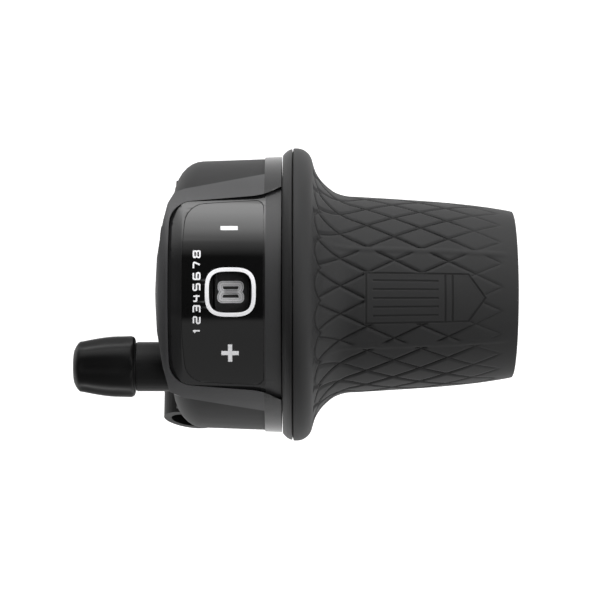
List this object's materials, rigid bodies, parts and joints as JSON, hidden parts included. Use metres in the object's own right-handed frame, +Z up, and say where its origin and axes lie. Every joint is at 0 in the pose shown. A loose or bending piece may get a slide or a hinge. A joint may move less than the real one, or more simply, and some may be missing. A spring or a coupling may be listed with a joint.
{
  "type": "twist shifter",
  "caption": "Handlebar twist shifter for a hub gear: a domed housing with a gear number window, a clamp, a turning rubber grip and a cable adjuster.",
  "frame": {"origin": "on the handlebar's axis, at the inboard face of the clamp collar", "axes": "+X along the handlebar towards its end, +Z up through the display, the cable adjuster points to -X"},
  "size_m": [0.0863, 0.0584, 0.0584],
  "materials": {
    "cover_plastic": "satin",
    "body_plastic": "matte",
    "bezel_plastic": "glossy",
    "plate_gloss": "glossy",
    "lens_clear": "clear",
    "screw_black": "black oxide",
    "screw_steel": "zinc plated",
    "spring_steel": "spring steel",
    "acetal": "natural",
    "ring_black": "matte",
    "tube_plastic": "satin",
    "grip_rubber": "matte",
    "barrel_metal": "anodised",
    "knob_plastic": "satin",
    "mark_white": "printed",
    "number_gray": "printed",
    "number_edge": "printed"
  },
  "bodies": {
    "housing": {"housing_body": "body_plastic", "housing_cover": "cover_plastic", "display_bezel": "bezel_plastic", "display_plate": "plate_gloss", "display_lens": "lens_clear", "clamp_screw": "screw_black", "clamp_nut": "screw_steel", "cover_screws": "screw_black", "detent_spring": "spring_steel", "cable_guide": "acetal", "thrust_washer": "acetal", "wave_washer": "spring_steel", "adjuster_spring": "spring_steel"},
    "grip": {"grip_tube": "tube_plastic", "grip_rubber": "grip_rubber", "cable_spool": "acetal", "number_ring": "ring_black", "index_ring": "acetal"},
    "adjuster_barrel": {"adjuster_barrel": "barrel_metal"},
    "adjuster_knob": {"adjuster_knob": "knob_plastic"}
  },
  "joints": [
    {"name": "grip_turn", "type": "hinge", "parent": "housing", "child": "grip", "pos_m": [0, 0, 0], "axis": [1, 0, 0], "range_deg": [-112, 0], "deforming": ["detent_spring"]},
    {"name": "adjuster_slide", "type": "slide", "parent": "housing", "child": "adjuster_barrel", "axis": [-1, 0, 0], "range_m": [0, 0.003], "deforming": ["adjuster_spring"]},
    {"name": "knob_turn", "type": "hinge", "parent": "adjuster_barrel", "child": "adjuster_knob", "pos_m": [0, -0.01405, 0.014], "axis": [-1, 0, 0], "range_deg": [0, 1080]}
  ],
  "couplings": [
    {"joint": "knob_turn", "follows": "adjuster_slide", "rad_per_m": 6283.2}
  ]
}
